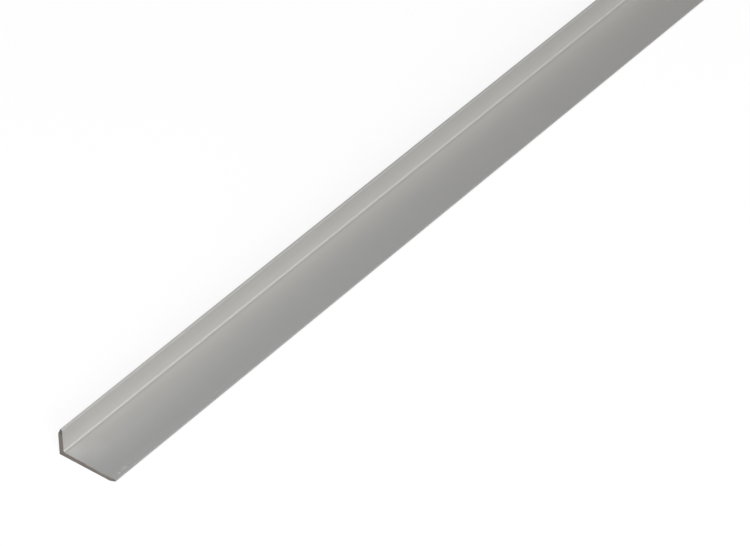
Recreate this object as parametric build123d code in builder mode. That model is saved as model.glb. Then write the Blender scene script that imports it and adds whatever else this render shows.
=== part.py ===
from build123d import *
import os

# Unequal-leg angle section with bevelled toes, extruded and sawn to a stock length. Millimetres, +Z up.
# The long leg lies on Z = 0 and the short leg stands along its -X edge. The length runs along Y.
# The origin is the middle of the footprint, on the plane that the long leg rests on.

# Driving dimensions
stock_length = 1000.0
long_leg = 20.0            # outer width of the leg that lies flat
short_leg = 10.0           # outer height of the leg that stands
wall = 1.5                 # thickness of both legs
heel_radius = 0.15         # outside corner where the legs meet
root_radius = 0.8          # inside corner where the legs meet
toe_bevel_run = 2.1        # length of each toe's bevel along the outer face of its leg
toe_thickness = 0.63       # wall that the bevel leaves at the toe
toe_blend_radius = 2.0     # soft bend from the outer face into the bevel
toe_corner_radius = 0.12   # corner between the bevel and the toe
toe_lip_radius = 0.5       # round between the toe and the inner face
corner_share_of_toe = 0.2  # a thin toe limits its corner to this share of its thickness
lip_share_of_toe = 0.8     # a thin toe limits its lip to this share of its thickness

bevel_depth = wall - toe_thickness
corner_radius = min(toe_corner_radius, corner_share_of_toe * toe_thickness)
lip_radius = min(toe_lip_radius, lip_share_of_toe * toe_thickness)

# The section's corners, in order from the heel, and the radius of each
corners = (
    ((0, 0), heel_radius),
    ((long_leg - toe_bevel_run, 0), toe_blend_radius),
    ((long_leg, bevel_depth), corner_radius),
    ((long_leg, wall), lip_radius),
    ((wall, wall), root_radius),
    ((wall, short_leg), lip_radius),
    ((bevel_depth, short_leg), corner_radius),
    ((0, short_leg - toe_bevel_run), toe_blend_radius),
)

section_plane = Plane.XZ.shift_origin((-long_leg / 2, 0, 0))

with BuildPart() as angle_section:
    with BuildSketch(section_plane) as section:
        with BuildLine():
            Polyline(*(place for place, radius in corners), close=True)
        make_face()
        for place, radius in corners:
            fillet(section.vertices().sort_by_distance(place)[0], radius)
    extrude(amount=stock_length / 2, both=True)

angle_section.part.label = "angle_section"

os.makedirs("parts", exist_ok=True)
export_step(angle_section.part, "parts/angle_section.step")
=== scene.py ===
"""Satin aluminium angle section with finely rounded edges and sawn ends, on a pale studio floor."""

import math

import bmesh
import bpy
from bpy.props import FloatProperty, FloatVectorProperty, IntProperty, PointerProperty
from mathutils import Matrix, Vector


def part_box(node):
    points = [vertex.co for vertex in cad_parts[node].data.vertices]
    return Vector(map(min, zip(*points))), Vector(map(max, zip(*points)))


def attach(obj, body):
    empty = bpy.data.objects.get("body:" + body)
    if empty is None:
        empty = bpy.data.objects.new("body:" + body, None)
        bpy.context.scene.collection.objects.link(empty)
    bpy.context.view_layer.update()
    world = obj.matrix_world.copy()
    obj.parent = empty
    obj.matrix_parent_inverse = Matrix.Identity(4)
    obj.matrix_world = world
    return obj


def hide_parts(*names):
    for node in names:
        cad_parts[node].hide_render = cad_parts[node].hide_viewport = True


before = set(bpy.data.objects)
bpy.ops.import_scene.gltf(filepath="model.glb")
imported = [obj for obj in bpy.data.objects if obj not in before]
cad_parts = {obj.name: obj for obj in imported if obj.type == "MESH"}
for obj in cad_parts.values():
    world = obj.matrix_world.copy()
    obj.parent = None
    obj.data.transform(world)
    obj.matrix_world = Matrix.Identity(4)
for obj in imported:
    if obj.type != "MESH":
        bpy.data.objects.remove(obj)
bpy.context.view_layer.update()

bl_info = {
    "name": "Metal Angle Section",
    "version": (1, 0, 0),
    "blender": (4, 5, 0),
    "location": "View3D > Sidebar > Angle",
    "description": "Models a sawn length of satin aluminium angle and a small studio to show it in",
    "category": "Add Mesh",
}

NODE = "angle_section"
BODY = "root"
MM = 0.001
WHITE = (1.0, 1.0, 1.0, 1.0)
SAWN = 1  # slot of the sawn ends' material on the bar, after the satin one

FLOOR_RADIUS = 20.0  # metres
BACKDROP_HEIGHT = 3.0  # metres
GLOW_REACH = 2.5  # metres from the aim point to where the floor glows fully white

BAR_LOW, BAR_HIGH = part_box(NODE)


# Sizes, finishes and stage settings

class SectionSizes(bpy.types.PropertyGroup):
    """Wall, radii, bevels and saw cuts. The outer widths and the length come from the frame."""

    wall: FloatProperty(
        name="Wall", description="Thickness of both legs", default=1.5 * MM, unit="LENGTH", precision=5)
    heel_radius: FloatProperty(
        name="Heel radius", description="Outside corner between the legs", default=0.15 * MM,
        unit="LENGTH", precision=5)
    root_radius: FloatProperty(
        name="Root radius", description="Inside corner between the legs", default=0.8 * MM,
        unit="LENGTH", precision=5)
    bevel_run: FloatProperty(
        name="Bevel run", description="Length of each toe's bevel along its outer face", default=2.1 * MM,
        unit="LENGTH", precision=5)
    toe_thickness: FloatProperty(
        name="Toe thickness", description="Wall that the bevel leaves at each toe", default=0.63 * MM,
        unit="LENGTH", precision=5)
    blend_radius: FloatProperty(
        name="Blend radius", description="Soft bend from each outer face into its bevel", default=2 * MM,
        unit="LENGTH", precision=5)
    corner_radius: FloatProperty(
        name="Toe corner radius", description="Corner between each bevel and its toe", default=0.12 * MM,
        unit="LENGTH", precision=5)
    lip_radius: FloatProperty(
        name="Toe lip radius", description="Round between each toe and its inner face", default=0.5 * MM,
        unit="LENGTH", precision=5)
    near_cut_across: FloatProperty(
        name="Near cut across", description="How far the near saw cut is out of square across the long leg",
        default=math.radians(1.55), subtype="ANGLE")
    near_cut_up: FloatProperty(
        name="Near cut up", description="How far the near saw cut is out of square up the short leg",
        default=math.radians(-1.13), subtype="ANGLE")
    far_cut_across: FloatProperty(
        name="Far cut across", description="How far the far saw cut is out of square across the long leg",
        default=math.radians(0.7), subtype="ANGLE")
    far_cut_up: FloatProperty(
        name="Far cut up", description="How far the far saw cut is out of square up the short leg",
        default=math.radians(0.4), subtype="ANGLE")
    cut_edge: FloatProperty(
        name="Cut edge", description="Width of the broken edge round each sawn end", default=0.04 * MM,
        unit="LENGTH", precision=5)
    arc_steps: IntProperty(
        name="Arc steps", description="Edges in each rounded stretch of the section", default=10, min=3)


class FinishSettings(bpy.types.PropertyGroup):
    """Colours of the two finishes, and how rough and how metallic the satin one is."""

    metal: FloatVectorProperty(
        name="Metal", description="Reflection colour of the satin faces", default=(0.5555, 0.55, 0.53),
        subtype="COLOR")
    # Also the colour of the painted sheen by the near end
    cool_metal: FloatVectorProperty(
        name="Cool metal", description="Reflection colour toward the long toe near the near end",
        default=(0.55, 0.55, 0.545), subtype="COLOR")
    # Kept dark: partly the rough cut's own colour, partly painted shade for an end that faces away from the
    # light
    sawn: FloatVectorProperty(
        name="Sawn metal", description="Reflection colour of the sawn ends", default=(0.208, 0.184, 0.168),
        subtype="COLOR")
    # Colour of the painted highlight along the long leg's inner edge on the sawn ends
    sawn_edge: FloatVectorProperty(
        name="Sawn edge", description="Reflection colour along the inner edge of the sawn long leg",
        default=(0.33, 0.295, 0.265), subtype="COLOR")
    roughness: FloatProperty(
        name="Roughness", description="Roughness of the satin faces", default=0.4, subtype="FACTOR")
    metallic: FloatProperty(
        name="Metallic", description="How far the satin faces mirror rather than scatter", default=0.35,
        subtype="FACTOR")


class StageSettings(bpy.types.PropertyGroup):
    """Camera place and light levels."""

    azimuth: FloatProperty(
        name="Azimuth", description="Turn of the camera about the vertical", default=math.radians(38.5867),
        subtype="ANGLE")
    elevation: FloatProperty(
        name="Elevation", description="Height angle of the camera", default=math.radians(40.7947),
        subtype="ANGLE")
    distance: FloatProperty(
        name="Distance", description="From the aim point to the camera", default=1.45308, unit="LENGTH")
    lens: FloatProperty(
        name="Lens", description="Focal length", default=242.247, subtype="DISTANCE_CAMERA")
    aim_across: FloatProperty(
        name="Aim across", description="Aim point from the heel, across the long leg",
        default=20.3599 * MM, unit="LENGTH", precision=5)
    aim_along: FloatProperty(
        name="Aim along", description="Aim point from the near end, along the bar",
        default=114.44 * MM, unit="LENGTH", precision=5)
    floor_glow: FloatProperty(
        name="Floor glow", description="White that the floor shows on top of its lit colour", default=0.82,
        subtype="FACTOR")
    floor_colour: FloatVectorProperty(
        name="Floor", description="Colour of the floor, which carries the shadow",
        default=(0.25, 0.25, 0.25), subtype="COLOR")
    world_level: FloatProperty(
        name="World level", description="Strength of the even light from all round", default=0.19)
    front_level: FloatProperty(
        name="Front level", description="Radiance of the softbox beside the camera", default=4.03)
    low_level: FloatProperty(
        name="Low level", description="Radiance of the low softbox on the long leg's side", default=1.89)
    far_level: FloatProperty(
        name="Far level", description="Radiance of the low softbox toward the far end", default=1.15)


# Shader maths

class Value:
    """An output socket that Python's operators turn into Math nodes."""

    def __init__(self, recipe, socket):
        self.recipe = recipe
        self.socket = socket

    def maths(self, operation, *values, clamp=False):
        settings = {"operation": operation, "use_clamp": clamp}
        return self.recipe.node("ShaderNodeMath", settings, dict(enumerate(values)))

    def __add__(self, other):
        return self.maths("ADD", self, other)

    def __radd__(self, other):
        return self.maths("ADD", other, self)

    def __sub__(self, other):
        return self.maths("SUBTRACT", self, other)

    def __rsub__(self, other):
        return self.maths("SUBTRACT", other, self)

    def __mul__(self, other):
        return self.maths("MULTIPLY", self, other)

    def __rmul__(self, other):
        return self.maths("MULTIPLY", other, self)

    def __pow__(self, other):
        return self.maths("POWER", self, other)

    def __abs__(self):
        return self.maths("ABSOLUTE", self)

    def least(self, other):
        return self.maths("MINIMUM", self, other)

    def clamped(self):
        """The value held between 0 and 1."""
        return self.maths("ADD", self, 0.0, clamp=True)

    def rise(self, start, end):
        """Goes smoothly from 0 to 1 as the value goes from start to end, whichever of them is higher."""
        limits = {"Value": self, "From Min": start, "From Max": end}
        return self.recipe.node("ShaderNodeMapRange", {"interpolation_type": "SMOOTHSTEP"}, limits)

    def ridge(self, middle, reach):
        """Is 1 where the value is at the middle, and falls smoothly to 0 at the reach on either side."""
        return abs(self - middle).rise(reach, 0.0)


class Recipe:
    """The node tree of a material or world, built node by node."""

    def __init__(self, owner, output_kind="ShaderNodeOutputMaterial"):
        self.owner = owner
        owner.use_nodes = True
        self.tree = owner.node_tree
        self.tree.nodes.clear()
        self.output = self.tree.nodes.new(output_kind)

    def node(self, kind, settings=None, inputs=None, output=0):
        """Adds a node, sets its settings, feeds its sockets with values or links, and gives one output."""
        made = self.tree.nodes.new(kind)
        for key, value in (settings or {}).items():
            setattr(made, key, value)
        for key, value in (inputs or {}).items():
            socket = made.inputs[key]
            if isinstance(value, Value):
                self.tree.links.new(value.socket, socket)
            else:
                socket.default_value = value
        return Value(self, made.outputs[output])

    def parts(self, vector):
        """The three parts of a vector."""
        first = self.node("ShaderNodeSeparateXYZ", {}, {"Vector": vector})
        return [Value(self, socket) for socket in first.socket.node.outputs]

    def noise(self, vector, scale, detail):
        return self.node("ShaderNodeTexNoise", {}, {"Vector": vector, "Scale": scale, "Detail": detail})

    def mix(self, factor, first, second):
        """Goes from the first colour to the second with the factor."""
        # The Mix node repeats its sockets' names for each data type, so those for colours go by number
        colours = {0: factor, 6: colour4(first), 7: colour4(second)}
        return self.node("ShaderNodeMix", {"data_type": "RGBA"}, colours, output=2)

    def shaded(self, colour, shade):
        """The colour times the shade."""
        return self.node("ShaderNodeVectorMath", {"operation": "SCALE"}, {0: colour, "Scale": shade})

    def finish(self, shader):
        self.tree.links.new(shader.socket, self.output.inputs["Surface"])
        return self.owner


def colour4(colour):
    return (*colour, 1.0)


def bar_place(r):
    """Object coordinates in millimetres from the heel's corner at the near end: a vector, and its parts."""
    place = r.node("ShaderNodeTexCoord", output="Object")
    to_millimetres = {"Vector": place, "Location": -BAR_LOW / MM, "Scale": (1 / MM,) * 3}
    vector = r.node("ShaderNodeMapping", {}, to_millimetres)
    return vector, r.parts(vector)


def streaks(r, vector, per_mm, stretch):
    """Noise drawn out along the bar, from 0 to 1."""
    drawn = r.node("ShaderNodeMapping", {}, {"Vector": vector, "Scale": (1.0, 1 / stretch, 1.0)})
    return r.noise(drawn, scale=per_mm, detail=2.0)


def distance(a, b, place):
    """How far the point (a, b) is from a place in the same plane."""
    return ((a - place[0]) ** 2.0 + (b - place[1]) ** 2.0) ** 0.5


def spot(a, b, place, reach):
    """A round spot: 1 at its place, 0 beyond its reach."""
    return distance(a, b, place).rise(reach, 0.0)


# The two finishes. Their places are in millimetres from the heel at the near end: across, along and up.

# Round spots on the long leg by the near end: (place across and along, reach, what it adds to the shade)
# A painted sheen: lighter spots on the long leg's inner face by the near end, where light falls
PAINTED_SHEEN = (
    ((4.1, 1.7), 5.3, 0.135),
    ((7.0, 6.6), 5.6, 0.066),
)
# Rub marks on the long toe's lip: partly wear, partly a painted highlight of the worn, rounder lip
RUBS_AND_PAINTED_GLINTS = (
    ((19.0, 3.55), 0.6, 0.4),
    ((18.8, 4.9), 0.8, 0.14),
    ((18.65, 6.05), 1.0, 0.22),
    ((19.0, 7.0), 0.5, 0.12),
    ((19.4, 3.9), 0.45, -0.15),
    ((18.7, 7.5), 0.5, -0.08),
)

BLADE_CENTRE = (60.0, -110.0)  # middle of the saw blade, across and up


def section_mm(sizes):
    """The wall, the long leg and the short leg."""
    span = (BAR_HIGH - BAR_LOW) / MM
    return sizes.wall / MM, span.x, span.z


def from_inner_corner(x, z):
    """How far along the inner faces from their corner: above 0 on the long leg, below 0 on the short."""
    return x - z


def round_spots(x, y, spots):
    """What a group of round spots adds to the shade."""
    return sum(spot(x, y, place, reach) * strength for place, reach, strength in spots)


def inner_painted_light_and_rubs(sizes, x, y, z, painted_sheen):
    """What the inner faces add to the shade: painted light and shade, the painted sheen and rub marks. The
    last number of each zone is its strength.
    """
    wall = sizes.wall / MM
    inside = x.least(z).rise(wall - 0.3, wall - 0.1)
    along_faces = from_inner_corner(x, z)
    # Painted light: the short leg's inner face is lighter toward the root, where the long leg's bounce
    # light falls
    painted_light_at_foot_of_short_leg = along_faces.rise(-6.5, -1.5) * along_faces.rise(-0.1, -0.8) * 0.08
    # Painted shade: a darker line on the long leg just beside the root
    painted_shade_beside_root = along_faces.ridge(0.38, 0.75) * -0.14
    # Painted sheen: a lighter and a darker band across the long leg, fading away from the near end
    bands = x.ridge(9.5, 4.9) * 0.05 - x.ridge(16.6, 3.3) * 0.026
    painted_sheen_bands_by_near_end = bands * y.rise(106.0, 5.0)
    zones = painted_light_at_foot_of_short_leg + painted_shade_beside_root + painted_sheen_bands_by_near_end
    return (zones + painted_sheen + round_spots(x, y, RUBS_AND_PAINTED_GLINTS)) * inside


def toe_painted_light(sizes, x, y, z):
    """What the toes add to the shade, all painted: painted shade on both lips and on the long toe's edge by
    the near end, and a painted highlight on the very edge of the short toe.
    """
    wall, long_leg, short_leg = section_mm(sizes)
    along_faces = from_inner_corner(x, z)
    toe = long_leg - wall  # place of the long toe along the faces
    # Painted shade: the long toe's lip is darker, against the highlight its round catches
    painted_shade_on_long_lip = along_faces.rise(toe - 0.55, toe + 0.1) * -0.35
    # Painted shade: the long toe's outer edge is darker still by the near end
    painted_shade_on_long_edge_by_near_end = along_faces.rise(toe + 0.05, toe + 0.4) * y.rise(12.0, 7.0) * -0.14
    # Painted shade: the short toe's lip is darker
    painted_shade_on_short_lip = z.rise(short_leg - 0.75, short_leg - 0.4) * -0.115
    # Painted highlight: the short toe's very edge is lighter, most of all by the near end
    painted_highlight_on_short_edge = z.rise(short_leg - 0.12, short_leg - 0.01) * (y.rise(130.0, 10.0) * 0.23 + 0.16)
    return painted_shade_on_long_lip + painted_shade_on_long_edge_by_near_end + painted_shade_on_short_lip + painted_highlight_on_short_edge


def satin_material(sizes, finish):
    """Satin faces with faint lines along the bar, painted light and shade on the inner faces and toes, and
    a painted sheen and a few rubs by the near end.
    """
    r = Recipe(bpy.data.materials.new("satin_aluminium"))
    vector, (x, y, z) = bar_place(r)
    along_faces = from_inner_corner(x, z)
    # The painted sheen is kept to the long leg
    painted_sheen = round_spots(x, y, PAINTED_SHEEN) * along_faces.rise(0.3, 1.3)
    broad_lines = streaks(r, vector, per_mm=1.3, stretch=60.0)
    fine_lines = streaks(r, vector, per_mm=5.0, stretch=200.0)
    lines = broad_lines * 0.6 + fine_lines * 0.4
    cloud = r.noise(vector, scale=0.06, detail=3.0) - 0.5
    shade = 1.0 + (lines - 0.5) * 0.04 + cloud * 0.03
    shade = shade + inner_painted_light_and_rubs(sizes, x, y, z, painted_sheen) + toe_painted_light(sizes, x, y, z)

    # A cooler tone toward the long toe by the near end, and the painted sheen's cooler colour
    cool_tone_and_painted_sheen = (along_faces.rise(2.5, 9.0) * y.rise(330.0, 60.0) + painted_sheen * 6.0).clamped()
    tint = r.mix(cool_tone_and_painted_sheen, finish.metal, finish.cool_metal)
    grain = r.noise(vector, scale=6.0, detail=2.0)
    bump = r.node("ShaderNodeBump", {}, {
        "Strength": 0.08, "Distance": 0.02 * MM, "Height": lines * 0.6 + grain * 0.4})
    shader = r.node("ShaderNodeBsdfPrincipled", {}, {
        "Base Color": r.shaded(tint, shade), "Metallic": finish.metallic,
        "Roughness": finish.roughness + cloud * 0.04, "Normal": bump})
    return r.finish(shader)


def sawn_material(sizes, finish):
    """Sawn ends: brownish, with a painted highlight along the long leg's inner edge, darker at the toes,
    with the blade's curved marks.
    """
    r = Recipe(bpy.data.materials.new("sawn_aluminium"))
    vector, (x, y, z) = bar_place(r)
    wall, long_leg, short_leg = section_mm(sizes)
    long_tip = x.rise(long_leg - 1.5, long_leg - 0.7)
    short_tip = z.rise(short_leg - 2.4, short_leg - 1.6)
    # Painted highlight: the sawn face is paler along the long leg's inner edge, where the broken edge
    # catches light
    painted_highlight_on_inner_edge = x.least(z).rise(wall - 0.55, wall - 0.15) * x.rise(7.0, 11.0) * (1.0 - long_tip)
    tint = r.mix(painted_highlight_on_inner_edge, finish.sawn, finish.sawn_edge)

    blade_marks = r.node("ShaderNodeTexNoise", {"noise_dimensions": "1D"}, {
        "W": distance(x, z, BLADE_CENTRE), "Scale": 2.5, "Detail": 3.0})
    blotches = r.noise(vector, scale=0.45, detail=2.0)
    unevenness = (blade_marks - 0.5) * 0.3 + (blotches - 0.5) * 0.3
    bands = x.ridge(6.0, 1.8) * 0.13 - x.ridge(12.0, 1.4) * 0.06 + x.ridge(15.2, 3.2) * 0.17
    shade = 1.0 + unevenness + bands - short_tip * 0.26 - long_tip * 0.1
    bump = r.node("ShaderNodeBump", {}, {"Strength": 0.4, "Distance": 0.03 * MM, "Height": blade_marks})
    shader = r.node("ShaderNodeBsdfPrincipled", {}, {
        "Base Color": r.shaded(tint, shade), "Metallic": 1.0,
        "Roughness": 0.5 + blotches * 0.1, "Normal": bump})
    return r.finish(shader)


# The bar

def section_corners(sizes):
    """Corners of the section from the heel, anticlockwise as seen from the near end: (place, radius)."""
    heel_x, near_y, heel_z = BAR_LOW
    long_leg = BAR_HIGH.x - heel_x
    short_leg = BAR_HIGH.z - heel_z
    wall, run = sizes.wall, sizes.bevel_run
    depth = wall - sizes.toe_thickness
    corners = (
        (0, 0, sizes.heel_radius),
        (long_leg - run, 0, sizes.blend_radius),
        (long_leg, depth, sizes.corner_radius),
        (long_leg, wall, sizes.lip_radius),
        (wall, wall, sizes.root_radius),
        (wall, short_leg, sizes.lip_radius),
        (depth, short_leg, sizes.corner_radius),
        (0, short_leg - run, sizes.blend_radius),
    )
    return [(Vector((heel_x + x, near_y, heel_z + z)), radius) for x, z, radius in corners]


def draw_corner(bm, pen, before, corner, after, radius, steps):
    """Draws on from the pen vertex to a corner and round it, and gives the vertex where the round ends."""
    arrive = (corner - before).normalized()
    leave = (after - corner).normalized()
    turn = arrive.angle(leave)
    side = math.copysign(1, arrive.x * leave.z - arrive.z * leave.x)
    start = corner - arrive * radius * math.tan(turn / 2)
    centre = start + Vector((-arrive.z, 0, arrive.x)) * side * radius
    if pen is None:
        tip = bmesh.ops.create_vert(bm, co=start)["vert"][0]
    else:
        tip = bmesh.ops.extrude_vert_indiv(bm, verts=[pen])["verts"][0]
        bmesh.ops.translate(bm, verts=[tip], vec=start - tip.co)
    made = bmesh.ops.spin(bm, geom=[tip], cent=centre, axis=(0, -1, 0), angle=turn * side, steps=steps)
    return next(item for item in made["geom_last"] if isinstance(item, bmesh.types.BMVert))


def draw_section(bm, sizes):
    """Draws the closed outline of the section at the near end and fills it."""
    corners = section_corners(sizes)
    pen = None
    for index, (place, radius) in enumerate(corners):
        before = corners[index - 1][0]
        after = corners[(index + 1) % len(corners)][0]
        pen = draw_corner(bm, pen, before, place, after, radius, sizes.arc_steps)
    bm.verts.ensure_lookup_table()
    bmesh.ops.contextual_create(bm, geom=[pen, bm.verts[0]])
    return bmesh.ops.contextual_create(bm, geom=bm.edges)["faces"][0]


def tilt_cut(bm, verts, side, across, up):
    """Shears one end's vertices along the bar, so that its cut is out of square and only takes metal away.

    The side is -1 for the near end and 1 for the far one.
    """
    slope_x, slope_z = math.tan(across), math.tan(up)
    skew = Matrix(((1, 0, 0, 0), (slope_x, 1, slope_z, 0), (0, 0, 1, 0), (0, 0, 0, 1)))
    bmesh.ops.transform(bm, matrix=skew, verts=verts)
    if side < 0:
        excess = BAR_LOW.y - min(vert.co.y for vert in verts)
    else:
        excess = BAR_HIGH.y - max(vert.co.y for vert in verts)
    bmesh.ops.translate(bm, verts=verts, vec=(0, excess, 0))


def build_bar(sizes):
    """Extrudes the section to the bar's length, tilts its saw cuts and breaks their edges."""
    bm = bmesh.new()
    section = draw_section(bm, sizes)
    near_verts = list(bm.verts)
    swept = bmesh.ops.extrude_face_region(bm, geom=[section])
    far_verts = [item for item in swept["geom"] if isinstance(item, bmesh.types.BMVert)]
    bmesh.ops.translate(bm, verts=far_verts, vec=(0, BAR_HIGH.y - BAR_LOW.y, 0))
    tilt_cut(bm, near_verts, -1, sizes.near_cut_across, sizes.near_cut_up)
    tilt_cut(bm, far_verts, 1, sizes.far_cut_across, sizes.far_cut_up)
    bmesh.ops.recalc_face_normals(bm, faces=bm.faces)
    for face in bm.faces:
        face.smooth = True
    ends = [face for face in bm.faces if len(face.verts) > 4]  # all the others have four corners
    for face in ends:
        face.material_index = SAWN
        face.smooth = False
    rims = list({edge for face in ends for edge in face.edges})
    broken = bmesh.ops.bevel(
        bm, geom=rims, offset=sizes.cut_edge, offset_type="OFFSET", segments=2, profile=0.5,
        affect="EDGES", material=-1, clamp_overlap=True)
    for face in broken["faces"]:
        face.material_index = SAWN
    return bm


def add_mesh(name, bm, materials):
    """Makes a mesh object from a bmesh, at the origin."""
    mesh = bpy.data.meshes.new(name)
    bm.to_mesh(mesh)
    bm.free()
    for material in materials:
        mesh.materials.append(material)
    obj = bpy.data.objects.new(name, mesh)
    bpy.context.scene.collection.objects.link(obj)
    return obj


class ANGLE_OT_add_bar(bpy.types.Operator):
    """Adds the angle bar with its satin faces and sawn ends, in place of the frame's plain node"""

    bl_idname = "angle.add_bar"
    bl_label = "Add Angle Bar"

    def execute(self, context):
        sizes = context.scene.angle_sizes
        finish = context.scene.angle_finish
        materials = [satin_material(sizes, finish), sawn_material(sizes, finish)]
        bar = add_mesh("angle_bar", build_bar(sizes), materials)
        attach(bar, BODY)
        weighted = bar.modifiers.new("face_weighted_normals", "WEIGHTED_NORMAL")
        weighted.weight = 100
        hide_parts(NODE)
        return {"FINISHED"}


# The stage

def aim_point(stage):
    return Vector((BAR_LOW.x + stage.aim_across, BAR_LOW.y + stage.aim_along, BAR_LOW.z))


def toward(azimuth, elevation):
    """Direction from the object towards a place at that azimuth and elevation, in radians."""
    across = math.cos(elevation)
    return Vector((math.sin(azimuth) * across, -math.cos(azimuth) * across, math.sin(elevation)))


def add_facing(name, data, aim, direction, metres):
    """Adds a camera or lamp that faces the aim point, from some metres off in that direction."""
    obj = bpy.data.objects.new(name, data)
    obj.location = aim + direction * metres
    obj.rotation_mode = "QUATERNION"
    obj.rotation_quaternion = (-direction).to_track_quat("-Z", "Y")
    bpy.context.scene.collection.objects.link(obj)
    return obj


def add_camera(stage):
    camera = bpy.data.cameras.new("camera")
    camera.lens = stage.lens
    direction = toward(stage.azimuth, stage.elevation)
    bpy.context.scene.camera = add_facing("camera", camera, aim_point(stage), direction, stage.distance)


def add_softbox(name, aim, azimuth, elevation, radiance, metres=1.5, width=1.2):
    """A square area lamp facing the aim point, with its angles in degrees and its strength as radiance."""
    lamp = bpy.data.lights.new(name, "AREA")
    lamp.size = width
    lamp.energy = radiance * math.pi * width ** 2
    direction = toward(math.radians(azimuth), math.radians(elevation))
    softbox = add_facing(name, lamp, aim, direction, metres)
    softbox.visible_camera = False


def seen_directly(r):
    """One for rays from the camera, from gloss and through glass, and nought for diffuse light."""
    rays = ("Is Camera Ray", "Is Glossy Ray", "Is Transmission Ray")
    camera, gloss, glass = (r.node("ShaderNodeLightPath", output=ray) for ray in rays)
    return (camera + gloss + glass).clamped()


def backdrop_material(stage):
    """Grey floor that carries the shadow, and a glow that makes it white to the eye, in gloss and in glass.

    The glow grows away from the aim point, where less of the softboxes' light falls.
    """
    r = Recipe(bpy.data.materials.new("backdrop"))
    x, y = r.parts(r.node("ShaderNodeTexCoord", output="Object"))[:2]
    unlit = 1.0 - spot(x, y, aim_point(stage), GLOW_REACH)
    strength = stage.floor_glow + unlit * (1.0 - stage.floor_glow)
    lit = r.node("ShaderNodeBsdfDiffuse", {}, {"Color": colour4(stage.floor_colour)})
    glow = r.node("ShaderNodeEmission", {}, {"Strength": seen_directly(r) * strength})
    return r.finish(r.node("ShaderNodeAddShader", {}, {0: lit, 1: glow}))


def add_floor(stage):
    """A wide round floor and the low white wall round it, which stands behind the bar from every side."""
    bm = bmesh.new()
    bmesh.ops.create_circle(bm, cap_ends=True, segments=48, radius=FLOOR_RADIUS)
    rim = [edge for edge in bm.edges if edge.is_boundary]
    raised = bmesh.ops.extrude_edge_only(bm, edges=rim)["geom"]
    top_verts = [item for item in raised if isinstance(item, bmesh.types.BMVert)]
    bmesh.ops.translate(bm, verts=top_verts, vec=(0, 0, BACKDROP_HEIGHT))
    floor = add_mesh("floor", bm, [backdrop_material(stage)])


def add_world(stage):
    world = bpy.data.worlds.new("studio")
    r = Recipe(world, "ShaderNodeOutputWorld")
    light = r.node("ShaderNodeBackground", {}, {"Color": WHITE, "Strength": stage.world_level})
    bpy.context.scene.world = r.finish(light)


class ANGLE_OT_add_stage(bpy.types.Operator):
    """Adds the floor, the soft light and the camera"""

    bl_idname = "angle.add_stage"
    bl_label = "Add Stage"

    def execute(self, context):
        stage = context.scene.angle_stage
        aim = aim_point(stage)
        add_floor(stage)
        add_world(stage)
        add_softbox("front_softbox", aim, azimuth=30, elevation=40, radiance=stage.front_level)
        add_softbox("low_softbox", aim, azimuth=60, elevation=15, radiance=stage.low_level)
        add_softbox("far_softbox", aim, azimuth=110, elevation=12, radiance=stage.far_level)
        add_camera(stage)
        context.scene.view_settings.view_transform = "Standard"
        return {"FINISHED"}


class ANGLE_PT_panel(bpy.types.Panel):
    """Lists the settings, and the steps that make the angle and its stage"""

    bl_idname = "ANGLE_PT_panel"
    bl_label = "Metal Angle Section"
    bl_space_type = "VIEW_3D"
    bl_region_type = "UI"
    bl_category = "Angle"

    def draw(self, context):
        scene = context.scene
        for settings in (scene.angle_sizes, scene.angle_finish, scene.angle_stage):
            for name in settings.__annotations__:
                self.layout.prop(settings, name)
        for operator in (ANGLE_OT_add_bar, ANGLE_OT_add_stage):
            self.layout.operator(operator.bl_idname)


CLASSES = (
    SectionSizes, FinishSettings, StageSettings, ANGLE_OT_add_bar, ANGLE_OT_add_stage, ANGLE_PT_panel)


def register():
    for cls in CLASSES:
        bpy.utils.register_class(cls)
    bpy.types.Scene.angle_sizes = PointerProperty(type=SectionSizes)
    bpy.types.Scene.angle_finish = PointerProperty(type=FinishSettings)
    bpy.types.Scene.angle_stage = PointerProperty(type=StageSettings)


def unregister():
    del bpy.types.Scene.angle_stage
    del bpy.types.Scene.angle_finish
    del bpy.types.Scene.angle_sizes
    for cls in reversed(CLASSES):
        bpy.utils.unregister_class(cls)


def main():
    register()
    bpy.ops.angle.add_bar()
    bpy.ops.angle.add_stage()


if __name__ == "__main__":
    main()
